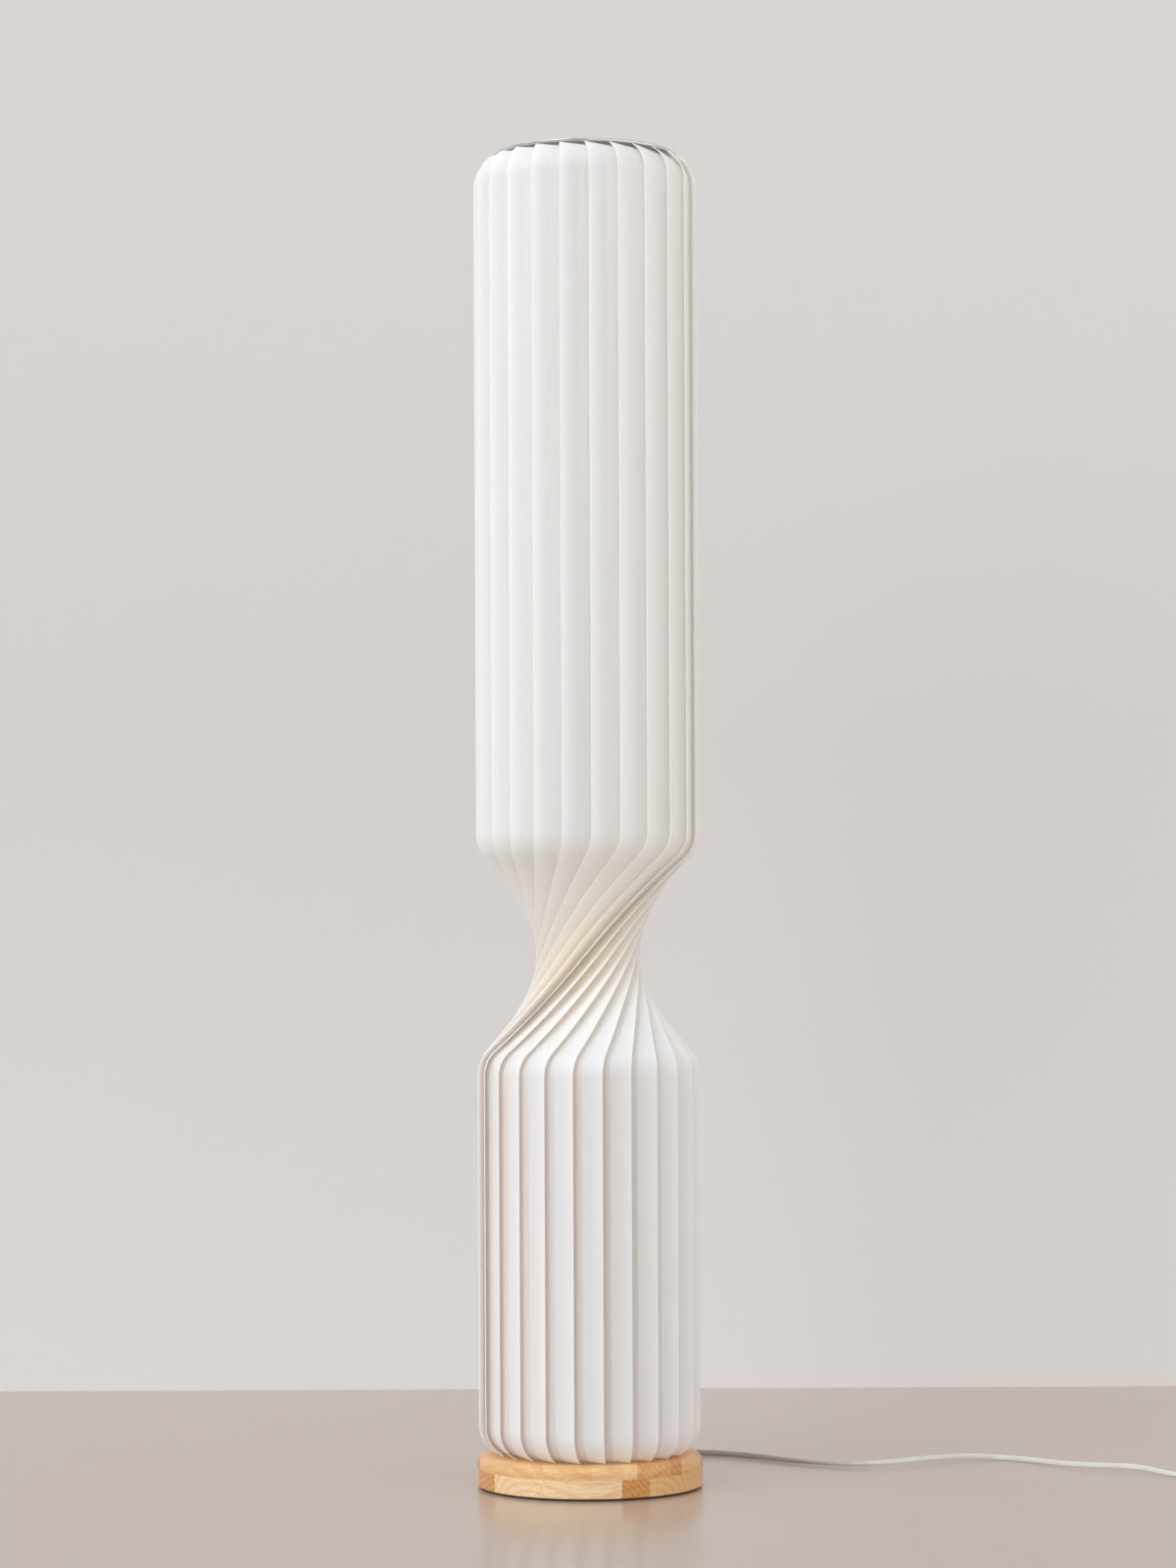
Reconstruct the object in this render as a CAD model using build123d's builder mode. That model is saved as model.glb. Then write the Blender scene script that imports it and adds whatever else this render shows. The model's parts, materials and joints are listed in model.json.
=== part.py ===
from build123d import *
import os
from math import asin, atan2, cos, degrees, pi, radians, sin, sqrt, tan

# Floor lamp on a round wooden base. Its shade is 24 long plastic strips that run from the top ring
# to the base: they overlap in an upper and a lower drum, and cross over in a narrow waist between.
# Millimetres, +Z up, origin at the centre of the base's underside. The front of the lamp is -Y.

os.makedirs("parts", exist_ok=True)

# Overall sizes
total_height = 1180.0
base_diameter = 200.0
base_height = 30.0
clearance = 0.3

# Strips
strip_count = 24
strip_width = 40.6
strip_thickness = 0.6
strip_tilt = 7.8
first_crossing = -3.0
drum_radius = 98.5
edge_twist = 130.0
shoulder_radius = 26.0
shoulder_turn = 62.0
lower_shoulder_rise = 26.0
upper_shoulder_drop = 29.0

# Waist, where the strips cross over
waist_height = 472.0
bend_radius = 29.0
bend_turn = 48.0
crossing_slope = 39.5
inner_edge_radius = 5.6
bow_width = 15.0
disc_level = 77.5
disc_thickness = 3.0
hub_radius = 14.0
hub_height = 10.0

# Centre tube and its nuts
tube_diameter = 10.0
tube_bore = 7.6
tube_bottom = 5.0
nut_width = 17.0
nut_height = 5.0
collar_radius = 16.0
collar_height = 6.0

# Base
pad_thickness = 2.0
pad_diameter = 194.0
layer_height = 16.0
base_rounding = 9.0
ballast_diameter = 148.0
ballast_thickness = 8.0
recess_depth = 10.0
channel_width = 26.0
channel_start = 16.0
edge_chamfer = 0.8
pilot_depth = 3.0
bore_overrun = 2.0
lead_diameter = 5.0
terminal_length = 20.0
terminal_height = 6.0
terminal_gap = 2.0
terminal_corner = 1.5
terminal_screw_spacing = 10.0
terminal_screw_radius = 2.0
terminal_screw_depth = 3.0

# Top ring, and the rims that take the ends of the strips
ring_radius = 81.0
ring_bore = 58.0
ring_thickness = 2.7
ring_rounding = 1.2
rim_bore = 58.0
rim_plate = 3.2
lip_length = 1.5
lip_thickness = 2.8
lip_relief = 0.6
arm_width = 14.0
arm_thickness = 3.0
arm_count = 3

# Countersunk screws
screw_circle = 62.5
screw_radius = 1.7
screw_head = 3.4
screw_length = 10.0
ballast_screw_circle = 60.0

# Bulbs, holders and their brackets
holder_offset = 42.0
holder_radius = 20.5
holder_height = 46.0
holder_collar = 6.0
holder_step = 2.0
sleeve_radius = 18.9
sleeve_start = 12.0
foot_radius = 11.3
foot_top_radius = 12.7
foot_height = 4.0
socket_radius = 13.6
socket_depth = 28.0
cap_radius = 13.1
cap_height = 28.4
contact_radius = 3.5
contact_height = 1.5
insulator_radius = 9.0
insulator_height = 3.0
thread_start = 6.0
globe_radius = 30.0
globe_height = 84.0
globe_neck_radius = 15.0
globe_neck_height = 8.0
bracket_plate = 2.5
bracket_width = 18.0
bracket_pad_radius = 13.5
clamp_wall = 4.0
clamp_height = 12.0
lower_holder_level = 110.0
upper_holder_level = 700.0
branch_diameter = 3.0
branch_drop = 24.0
branch_bend = 14.0

# Flat cord, and what is on it
cord_diameter = 5.0
cord_exit_height = 9.5
lead_height = 8.5
cord_in_switch = 5.5
straight_start = 20.0
spot_face_depth = 1.5
gland_flange = 5.5
gland_flange_thickness = 3.0
gland_bevel = 0.6
gland_shank = 3.6
gland_shank_length = 14.0
relief_root = 4.4
relief_tip = 3.2
relief_length = 20.0
coil_radius = 28.0
coil_step = 5.7
inward_turns = 2.5
outward_turns = 2.25
climb_dip = 1.0
measure_step = 3.0
measure_apart = 60.0
switch_centre = (582.0, -81.0)
switch_length = 62.0
switch_width = 26.0
switch_split = 8.0
switch_height = 17.0
switch_rounding = 3.0
pocket_margin = 2.0
pocket_below = 5.0
pocket_above = 4.0
window_length = 19.0
window_width = 12.6
rocker_gap = 0.35
rocker_turn = 8.0
hinge_height = 13.5
hinge_radius = 1.3
hinge_reach = 1.2
rocker_end = 5.6
rocker_depth = 5.0
rocker_foot_inset = 2.5
rocker_draft = 0.6
switch_corner = 7.0
plug_relief = 20.0
plug_relief_radius = 3.0
plug_shoulder = [(3.4, 0.0), (7.0, 5.0), (12.0, 13.0)]
plug_bevel = 1.6
plug_body_length = 34.0
plug_straight = 10.0
plug_width = 35.0
pin_radius = 2.0
pin_length = 19.0
pin_spacing = 18.6
pin_rounding = 1.2

# Heights of the drums' shoulders, and the end of the gland: these follow
lower_shoulder = base_height + lower_shoulder_rise
upper_shoulder = total_height - upper_shoulder_drop
gland_front = base_diameter / 2 - spot_face_depth + gland_flange_thickness
gland_face = gland_front + relief_length

# Route of the cord from the gland to the switch, and from the switch to the coil
cord_route = [
    (0, gland_face, cord_exit_height),
    (0, gland_face + straight_start, cord_exit_height),
    (9, 165, 3.8),
    (31, 187, 2.5),
    (65, 202, 2.5),
    (104, 207, 2.5),
    (143, 188, 2.5),
    (181, 148, 2.5),
    (219, 122, 2.5),
    (260, 111, 3.8),
    (299, 128, 5.2),
    (340, 157, 4.4),
    (380, 162, 2.5),
    (411, 137, 2.6),
    (434, 103, 3.8),
    (464, 82, 5.0),
    (498, 80, 4.2),
    (521, 40, 2.6),
    (548, 9, 3.6),
    (582, -22, 5.5),
    (switch_centre[0], switch_centre[1] + switch_length / 2, cord_in_switch),
]
link_route = [
    (switch_centre[0], switch_centre[1] - switch_length / 2, cord_in_switch),
    (582, -135, 5.5),
    (605, -157, 2.5),
    (635, -157, 2.5),
]


def polar(radius, azimuth, height=0.0):
    """Point at an azimuth in degrees: 0 is the front of the lamp, 90 its right."""
    turn = radians(azimuth)
    return Vector(radius * sin(turn), -radius * cos(turn), height)


def sideways(azimuth):
    """Level direction that goes round the axis, to higher azimuths."""
    turn = radians(azimuth)
    return Vector(cos(turn), sin(turn), 0)


def save(part, label):
    part.label = label
    export_step(part, f"parts/{label}.step")


# The coil starts at the end of the link, square to it.
coil_outer = coil_radius + coil_step * inward_turns / 2
coil_total = inward_turns + 0.5 + outward_turns
coil_start = Vector(*link_route[-1]) + Vector(cord_diameter, 0, 0)
coil_centre = Vector(coil_start.X, coil_start.Y + coil_outer, 0)

# A strip in a drum leans on its neighbour: one long edge stands out at drum_radius. These follow.
half_width = strip_width / 2
edge_lift = half_width * sin(radians(strip_tilt))
edge_reach = half_width * cos(radians(strip_tilt))
centre_radius = sqrt(drum_radius**2 - edge_reach**2) - edge_lift
edge_azimuth = degrees(asin(edge_reach / drum_radius))
drum_azimuth = edge_twist / 2 + edge_azimuth
drum_side = centre_radius * sin(radians(drum_azimuth))
drum_front = centre_radius * cos(radians(drum_azimuth))
waist_front = inner_edge_radius + half_width
drum_lean = 90 - drum_azimuth - strip_tilt
bend_side = drum_side - bend_radius * (1 - cos(radians(bend_turn)))
crossing_arc = bend_side / (cos(radians(crossing_slope)) - cos(radians(bend_turn)))
bend_height = crossing_arc * (sin(radians(bend_turn)) - sin(radians(crossing_slope)))
drum_height = bend_height + bend_radius * sin(radians(bend_turn))


def bow(side):
    """How far a strip's middle line comes forward, at a distance to the side of its crossing."""
    reach = sqrt(drum_side**2 + bow_width**2) - bow_width
    drop = (sqrt(side**2 + bow_width**2) - bow_width) / reach
    return waist_front - (waist_front - drum_front) * drop


def bow_slope(side):
    """Change of the bow with the distance to the side."""
    reach = sqrt(drum_side**2 + bow_width**2) - bow_width
    return -(waist_front - drum_front) * side / sqrt(side**2 + bow_width**2) / reach


def waist_station(side, height, angle):
    """Section plane in the waist, where the strip runs at an angle from straight down."""
    lean = radians(drum_lean) * side / drum_side
    across = Vector(-sin(lean), -cos(lean), 0)
    run = sin(radians(angle))
    down = Vector(-run, bow_slope(side) * run, -cos(radians(angle)))
    return Plane((side, -bow(side), waist_height + height), x_dir=across, z_dir=down)


def shoulder_station(turn, end):
    """Section plane in a drum's end: end is 1 at the top of the lamp and -1 at the base."""
    angle = radians(turn)
    azimuth = end * drum_azimuth
    level = upper_shoulder if end > 0 else lower_shoulder
    outward = polar(1, azimuth)
    radius = centre_radius - shoulder_radius * (1 - cos(angle))
    height = level + end * shoulder_radius * sin(angle)
    normal = outward * cos(angle) + Vector(0, 0, end * sin(angle))
    down = outward * (end * sin(angle)) + Vector(0, 0, -cos(angle))
    tilt = radians(strip_tilt)
    across = sideways(azimuth) * (-end * cos(tilt)) + normal * sin(tilt)
    return Plane(polar(radius, azimuth, height), x_dir=across, z_dir=down)


def crossing_stations(end, steps):
    """Stations from a drum's bend to the middle of the waist, which is left out."""
    stations = []
    for step in range(steps):
        angle = bend_turn - (bend_turn - crossing_slope) * step / steps
        side = crossing_arc * (cos(radians(crossing_slope)) - cos(radians(angle)))
        height = crossing_arc * (sin(radians(angle)) - sin(radians(crossing_slope)))
        stations.append(waist_station(end * side, end * height, angle))
    return stations


def bend_stations(end, steps):
    """Stations from a drum's straight part to the start of the crossing, which is left out."""
    stations = []
    for step in range(steps):
        angle = bend_turn * step / steps
        side = drum_side - bend_radius * (1 - cos(radians(angle)))
        height = drum_height - bend_radius * sin(radians(angle))
        stations.append(waist_station(end * side, end * height, angle))
    return stations


def strip_stations():
    """All section planes of one strip, from the top ring down to the base."""
    shoulder = [shoulder_turn * step / 5 for step in range(6)]
    top = [shoulder_station(turn, 1) for turn in reversed(shoulder)]
    upper = bend_stations(1, 4) + crossing_stations(1, 3)
    lower = bend_stations(-1, 4) + crossing_stations(-1, 3)
    bottom = [shoulder_station(turn, -1) for turn in shoulder]
    return top + upper + [waist_station(0, 0, crossing_slope)] + lower[::-1] + bottom


def make_strip():
    with BuildPart() as strip:
        for station in strip_stations():
            with BuildSketch(station):
                Rectangle(strip_width, strip_thickness)
        loft(ruled=True)
    return strip.part


def crossing_azimuths():
    return [first_crossing + index * 360 / strip_count for index in range(strip_count)]


def make_disc(end):
    """Many-sided disc beside the waist: each strip lies on one flat of its bevelled edge."""
    angle = asin(disc_level / crossing_arc + sin(radians(crossing_slope)))
    side = crossing_arc * (cos(radians(crossing_slope)) - cos(angle))
    lean = radians(drum_lean) * side / drum_side
    strip_distance = side * cos(lean) + bow(side) * sin(lean)
    apothem = strip_distance - (strip_thickness / 2 + clearance) / cos(angle)
    level = waist_height + end * disc_level
    normal_azimuth = first_crossing + end * (90 + degrees(lean))
    hub_bore = tube_diameter / 2 + clearance / 3
    with BuildPart() as disc:
        with BuildSketch(Plane.XY.offset(level)):
            RegularPolygon(apothem, strip_count, major_radius=False, rotation=normal_azimuth - 90)
            Circle(hub_bore, mode=Mode.SUBTRACT)
        extrude(amount=-end * disc_thickness, taper=degrees(angle))
        with BuildSketch(Plane.XY.offset(level)):
            Circle(hub_radius)
            Circle(hub_bore, mode=Mode.SUBTRACT)
        extrude(amount=end * hub_height)
    return disc.part


def rim_profile(end):
    """Outline of a rim, as points (radius, height): a flat flange and a lip under the strips' ends."""
    angle = radians(shoulder_turn)
    level = upper_shoulder if end > 0 else lower_shoulder
    depth = edge_lift - lip_relief
    end_radius = centre_radius - shoulder_radius * (1 - cos(angle)) - depth * cos(angle)
    end_height = level + end * (shoulder_radius - depth) * sin(angle)
    seat = total_height - ring_thickness if end > 0 else base_height
    foot_radius = end_radius - abs(seat - end_height) * tan(angle)
    tip_radius = end_radius + lip_length * sin(angle)
    tip_height = end_height - end * lip_length * cos(angle)
    inset = lip_thickness * cos(angle)
    drop = lip_thickness * sin(angle)
    return [
        (rim_bore, seat),
        (foot_radius, seat),
        (tip_radius, tip_height),
        (tip_radius - inset, tip_height - end * drop),
        (foot_radius - inset + (rim_plate - drop) * tan(angle), seat - end * rim_plate),
        (rim_bore, seat - end * rim_plate),
    ]


def hub_level():
    """Underside of the upper rim's arms and hub."""
    return rim_profile(1)[3][1]


def screw_places(radius, count):
    return [polar(radius, 60 + index * 360 / count) for index in range(count)]


def make_lower_rim():
    with BuildPart() as rim:
        with BuildSketch(Plane.XZ):
            with BuildLine():
                Polyline(rim_profile(-1), close=True)
            make_face()
        revolve(axis=Axis.Z)
        with Locations(Plane.XY.offset(base_height + rim_plate)):
            with Locations(screw_places(screw_circle, arm_count)):
                CounterSinkHole(screw_radius + clearance / 3, screw_head + clearance / 3)
    return rim.part


def make_upper_rim():
    """Rim with three arms to a hub that sits on the tube."""
    level = hub_level()
    reach = ring_radius - lip_thickness - arm_thickness
    with BuildPart() as rim:
        with BuildSketch(Plane.XZ):
            with BuildLine():
                Polyline(rim_profile(1), close=True)
            make_face()
        revolve(axis=Axis.Z)
        with BuildSketch(Plane.XY.offset(level)):
            Circle(hub_radius)
            for index in range(arm_count):
                with Locations(Rotation(0, 0, index * 360 / arm_count)):
                    with Locations((reach / 2, 0)):
                        Rectangle(reach, arm_width)
        extrude(amount=arm_thickness)
        with BuildSketch(Plane.XY.offset(level)):
            Circle(tube_diameter / 2 + clearance / 3)
        extrude(amount=arm_thickness, mode=Mode.SUBTRACT)
        with Locations(Plane.XY.offset(total_height - ring_thickness)):
            with Locations(screw_places(screw_circle, arm_count)):
                Hole(screw_radius + clearance / 3, depth=rim_plate)
    return rim.part


def make_top_ring():
    with BuildPart() as ring:
        with BuildSketch(Plane.XY.offset(total_height - ring_thickness)):
            Circle(ring_radius)
            Circle(ring_bore, mode=Mode.SUBTRACT)
        extrude(amount=ring_thickness)
        fillet(ring.edges().filter_by(GeomType.CIRCLE), ring_rounding)
        with Locations(Plane.XY.offset(total_height)):
            with Locations(screw_places(screw_circle, arm_count)):
                CounterSinkHole(screw_radius + clearance / 3, screw_head + clearance / 3)
    return ring.part


def make_screw(facing):
    """Countersunk screw with its head flush with the origin; facing is 1 for a head on top."""
    with BuildPart() as screw:
        with BuildSketch(Plane.XZ):
            with BuildLine():
                Polyline(
                    (0, 0),
                    (screw_head, 0),
                    (screw_radius, -facing * (screw_head - screw_radius)),
                    (screw_radius, -facing * (screw_length - screw_radius)),
                    (0, -facing * screw_length),
                    close=True,
                )
            make_face()
        revolve(axis=Axis.Z)
    return screw.part


def make_screws():
    """All countersunk screws: of the top ring, of the lower rim and of the ballast."""
    ballast_face = pad_thickness + recess_depth - ballast_thickness
    spots = [point + Vector(0, 0, total_height) for point in screw_places(screw_circle, arm_count)]
    rim_top = base_height + rim_plate
    spots += [point + Vector(0, 0, rim_top) for point in screw_places(screw_circle, arm_count)]
    under = [point + Vector(0, 0, ballast_face) for point in screw_places(ballast_screw_circle, 4)]
    with BuildPart() as screws:
        for spot in spots:
            add(make_screw(1).moved(Location(spot)))
        for spot in under:
            add(make_screw(-1).moved(Location(spot)))
    return screws.part


def make_tube():
    """Centre tube up to the top of the upper nut, with a side hole for the lead of each bulb."""
    tube_top = hub_level() + arm_thickness + nut_height
    with BuildPart() as tube:
        with BuildSketch(Plane.XY.offset(tube_bottom)):
            Circle(tube_diameter / 2)
            Circle(tube_bore / 2, mode=Mode.SUBTRACT)
        extrude(amount=tube_top - tube_bottom)
        for level, azimuth in ((lower_holder_level, 0), (upper_holder_level, 180)):
            hole_plane = Plane((0, 0, level - branch_drop), x_dir=(1, 0, 0), z_dir=polar(1, azimuth))
            with BuildSketch(hole_plane):
                Circle(branch_diameter / 2 + clearance)
            extrude(amount=tube_diameter, mode=Mode.SUBTRACT)
    return tube.part


def make_tube_nuts():
    """Hexagon nuts at both ends of the tube: under the wood, and on the hub of the upper rim."""
    upper_level = hub_level() + arm_thickness
    lower_level = pad_thickness + recess_depth - nut_height
    with BuildPart() as nuts:
        for level in (lower_level, upper_level):
            with BuildSketch(Plane.XY.offset(level)):
                RegularPolygon(nut_width / 2, 6, major_radius=False)
                Circle(tube_diameter / 2 + clearance / 3, mode=Mode.SUBTRACT)
            extrude(amount=nut_height)
    return nuts.part


def make_tube_collar():
    """Turned collar that steadies the tube on the wood."""
    with BuildPart() as collar:
        with BuildSketch(Plane.XY.offset(base_height)):
            Circle(collar_radius)
        extrude(amount=collar_height)
        fillet(collar.faces().sort_by(Axis.Z)[-1].edges(), collar_height / 3)
        with BuildSketch(Plane.XY.offset(base_height)):
            Circle(tube_diameter / 2 + clearance / 3)
        extrude(amount=collar_height, mode=Mode.SUBTRACT)
    return collar.part


def make_lower_layer():
    """Lower wooden layer, with the recess for the ballast and the bore for the cord."""
    with BuildPart() as layer:
        with BuildSketch(Plane.XY.offset(pad_thickness)):
            Circle(base_diameter / 2)
        extrude(amount=layer_height)
        chamfer(layer.edges().sort_by(Axis.Z)[0], edge_chamfer)
        with BuildSketch(Plane.XY.offset(pad_thickness)):
            Circle(ballast_diameter / 2 + clearance)
        extrude(amount=recess_depth, mode=Mode.SUBTRACT)
        with BuildSketch(Plane.XY.offset(pad_thickness)):
            Circle(tube_diameter / 2 + clearance / 3)
        extrude(amount=layer_height, mode=Mode.SUBTRACT)
        spot_face = Plane((0, base_diameter / 2, cord_exit_height), x_dir=(1, 0, 0), z_dir=(0, -1, 0))
        with BuildSketch(spot_face):
            Circle(gland_flange + clearance)
        extrude(amount=spot_face_depth, mode=Mode.SUBTRACT)
        with BuildSketch(spot_face):
            Circle(gland_shank + clearance / 3)
        extrude(amount=base_diameter / 2 - ballast_diameter / 2 + bore_overrun, mode=Mode.SUBTRACT)
        with BuildSketch(Plane.XY.offset(pad_thickness + recess_depth)):
            with Locations(screw_places(ballast_screw_circle, 4)):
                Circle(screw_radius + clearance / 3)
        extrude(amount=pilot_depth, mode=Mode.SUBTRACT)
    return layer.part


def make_upper_layer():
    """Upper wooden layer with its rounded edge."""
    with BuildPart() as layer:
        with BuildSketch(Plane.XY.offset(pad_thickness + layer_height)):
            Circle(base_diameter / 2)
        extrude(amount=base_height - pad_thickness - layer_height)
        fillet(layer.faces().sort_by(Axis.Z)[-1].edges(), base_rounding)
        with BuildSketch(Plane.XY.offset(pad_thickness + layer_height)):
            Circle(tube_diameter / 2 + clearance / 3)
        extrude(amount=base_height, mode=Mode.SUBTRACT)
        with BuildSketch(Plane.XY.offset(base_height)):
            with Locations(screw_places(screw_circle, arm_count)):
                Circle(screw_radius + clearance / 3)
        extrude(amount=-screw_length, mode=Mode.SUBTRACT)
    return layer.part


def make_pad():
    with BuildPart() as pad:
        with BuildSketch():
            Circle(pad_diameter / 2)
        extrude(amount=pad_thickness)
    return pad.part


def make_ballast():
    """Steel plate in the base, with a slot for the terminal block and the lead."""
    top = pad_thickness + recess_depth
    with BuildPart() as ballast:
        with BuildSketch(Plane.XY.offset(top - ballast_thickness)):
            Circle(ballast_diameter / 2)
            Circle(channel_start - terminal_gap, mode=Mode.SUBTRACT)
            with Locations((0, (channel_start + ballast_diameter) / 2)):
                Rectangle(channel_width, ballast_diameter - channel_start, mode=Mode.SUBTRACT)
        extrude(amount=ballast_thickness)
        with Locations(Plane.XY.offset(top - ballast_thickness).rotated((180, 0, 0))):
            with Locations([Vector(p.X, -p.Y, 0) for p in screw_places(ballast_screw_circle, 4)]):
                CounterSinkHole(screw_radius + clearance / 3, screw_head + clearance / 3)
    return ballast.part


def bulb_axis(azimuth):
    return polar(holder_offset, azimuth)


def make_bracket(level, azimuth):
    """Clamp round the tube with a flat arm that carries a bulb holder."""
    centre = bulb_axis(azimuth)
    arm_angle = azimuth - 90
    with BuildPart() as bracket:
        with BuildSketch(Plane.XY.offset(level)):
            Circle(tube_diameter / 2 + clamp_wall)
            with Locations(Location((centre.X / 2, centre.Y / 2), arm_angle)):
                Rectangle(holder_offset, bracket_width)
            with Locations((centre.X, centre.Y)):
                Circle(bracket_pad_radius)
        extrude(amount=bracket_plate)
        with BuildSketch(Plane.XY.offset(level)):
            Circle(tube_diameter / 2 + clamp_wall)
        extrude(amount=-clamp_height)
        with BuildSketch(Plane.XY.offset(level + bracket_plate)):
            Circle(tube_diameter / 2 + clearance / 3)
            with Locations((centre.X, centre.Y)):
                Circle(branch_diameter / 2 + clearance)
        extrude(amount=-clamp_height - bracket_plate, mode=Mode.SUBTRACT)
    return bracket.part


def make_holder(level, azimuth):
    """Bulb holder: a domed foot, a plain sleeve and an open socket."""
    seat = level + bracket_plate
    centre = bulb_axis(azimuth)
    with BuildPart() as holder:
        with BuildSketch(Plane.XZ):
            with BuildLine():
                Polyline(
                    (0, 0),
                    (foot_radius, 0),
                    (foot_top_radius, foot_height),
                    (sleeve_radius, sleeve_start),
                    (sleeve_radius, holder_height - holder_collar - holder_step),
                    (holder_radius, holder_height - holder_collar),
                    (holder_radius, holder_height),
                    (socket_radius, holder_height),
                    (socket_radius, holder_height - socket_depth),
                    (0, holder_height - socket_depth),
                    close=True,
                )
            make_face()
        revolve(axis=Axis.Z)
    return holder.part.moved(Location(Vector(centre.X, centre.Y, seat)))


def bulb_seat(level):
    return level + bracket_plate + holder_height - socket_depth


def make_cap(level, azimuth):
    """Screw cap of a bulb, with its contact pip."""
    centre = bulb_axis(azimuth)
    with BuildPart() as cap:
        with BuildSketch(Plane.XZ):
            with BuildLine():
                Polyline(
                    (0, 0),
                    (contact_radius, 0),
                    (contact_radius, contact_height),
                    (insulator_radius, insulator_height),
                    (cap_radius, thread_start),
                    (cap_radius, cap_height),
                    (0, cap_height),
                    close=True,
                )
            make_face()
        revolve(axis=Axis.Z)
    return cap.part.moved(Location(Vector(centre.X, centre.Y, bulb_seat(level))))


def make_globe(level, azimuth):
    """Frosted bulb: a flared neck that runs into a round top."""
    centre = bulb_axis(azimuth)
    neck_top = (globe_neck_radius, globe_neck_height)
    equator = globe_height - globe_radius
    with BuildPart() as globe:
        with BuildSketch(Plane.XZ):
            with BuildLine():
                Line((0, 0), (globe_neck_radius, 0))
                Line((globe_neck_radius, 0), neck_top)
                Spline(neck_top, (globe_radius, equator), tangents=((0.2, 1), (0, 1)))
                CenterArc((0, equator), globe_radius, 0, 90)
                Line((0, globe_height), (0, 0))
            make_face()
        revolve(axis=Axis.Z)
    return globe.part.moved(Location(Vector(centre.X, centre.Y, bulb_seat(level) + cap_height)))


def make_branch(level, azimuth):
    """Lead from the side hole of the tube up into the foot of a holder."""
    start = polar(tube_bore / 2, azimuth, level - branch_drop)
    corner = bulb_axis(azimuth) + Vector(0, 0, level - branch_drop)
    top = bulb_axis(azimuth) + Vector(0, 0, level + bracket_plate)
    with BuildPart() as branch:
        with BuildLine():
            FilletPolyline(start, corner, top, radius=branch_bend)
        with BuildSketch(Plane(start, z_dir=polar(1, azimuth))):
            Circle(branch_diameter / 2)
        sweep()
    return branch.part


def make_gland():
    """Moulded gland: flange on the wood, shank in the bore and a tapered strain relief for the cord."""
    face = base_diameter / 2 - spot_face_depth
    rear = face - gland_shank_length
    with BuildPart() as gland:
        with BuildSketch(Plane.YZ):
            with BuildLine():
                Polyline(
                    (rear, cord_exit_height),
                    (rear, cord_exit_height + gland_shank),
                    (face, cord_exit_height + gland_shank),
                    (face, cord_exit_height + gland_flange),
                    (gland_front - gland_bevel, cord_exit_height + gland_flange),
                    (gland_front, cord_exit_height + gland_flange - gland_bevel),
                    (gland_front, cord_exit_height + relief_root),
                    (gland_face, cord_exit_height + relief_tip),
                    (gland_face, cord_exit_height),
                    close=True,
                )
            make_face()
        revolve(axis=Axis((0, 0, cord_exit_height), (0, 1, 0)))
    return gland.part


def terminal_place():
    """Middle of the terminal block, which stands in the ballast's slot at the height of the leads."""
    return Vector(0, channel_start + terminal_gap + terminal_length / 2, lead_height)


def make_terminal_block():
    with BuildPart() as block:
        with Locations(terminal_place()):
            Box(channel_width - 2 * terminal_gap, terminal_length, terminal_height)
        fillet(block.edges().filter_by(Axis.Z), terminal_corner)
        with Locations(terminal_place() + Vector(0, 0, terminal_height / 2)):
            with GridLocations(terminal_screw_spacing, 1, 2, 1):
                Hole(terminal_screw_radius, depth=terminal_screw_depth)
    return block.part


def make_base_lead():
    """Lead inside the base, from the gland to the terminal block."""
    end = channel_start + terminal_gap + terminal_length
    start = base_diameter / 2 - spot_face_depth - gland_shank_length
    with BuildPart() as lead:
        with BuildSketch(Plane((0, end, lead_height), x_dir=(1, 0, 0), z_dir=(0, 1, 0))):
            Circle(lead_diameter / 2)
        extrude(amount=start - end)
    return lead.part


def bend_radii(route):
    """Arc of each corner: 0.45 of the shorter run beside it, over the tangent of half the turn."""
    points = [Vector(*point) for point in route]
    radii = []
    for before, corner, after in zip(points, points[1:], points[2:]):
        shorter = min((corner - before).length, (after - corner).length)
        turn = (corner - before).get_angle(after - corner)
        radii.append(0.45 * shorter / tan(radians(turn / 2)))
    return radii


def make_cord(route, label):
    """Round tube of the cord along straight runs and tangent arcs; prints its radii and volume."""
    with BuildPart() as cord:
        with BuildLine() as path:
            FilletPolyline(*route, radius=bend_radii(route))
        with BuildSketch(Plane(path.line @ 0, z_dir=path.line % 0)):
            Circle(cord_diameter / 2)
        sweep()
    length = path.wires()[0].length
    ratio = cord.part.volume / (pi * cord_diameter**2 / 4 * length)
    print(label, "length", round(length), "volume over section times length", round(ratio, 4))
    print(label, "radii", [round(radius) for radius in bend_radii(route)])
    return cord.part


def coil_point(turns):
    """Point and direction on the coil after a number of turns from its start."""
    climb = min(1, max(0, (turns - inward_turns) / 0.5))
    spread = max(inward_turns - turns, turns - inward_turns - 0.5, 0)
    level_end = turns == 0 or turns == coil_total or 0 < climb < 1
    growth = 0 if level_end else coil_step if climb else -coil_step
    dip = climb_dip * sin(pi * climb)
    radius = coil_radius - coil_step * inward_turns / 2 + coil_step * spread - dip
    height = cord_diameter / 2 + coil_step * (1 - cos(pi * climb)) / 2
    rise = coil_step * pi * sin(pi * climb)
    azimuth = 360 * turns
    point = coil_centre + polar(radius, azimuth, height)
    direction = sideways(azimuth) * (2 * pi * radius) + polar(growth, azimuth, rise)
    return point, direction.normalized()


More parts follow.
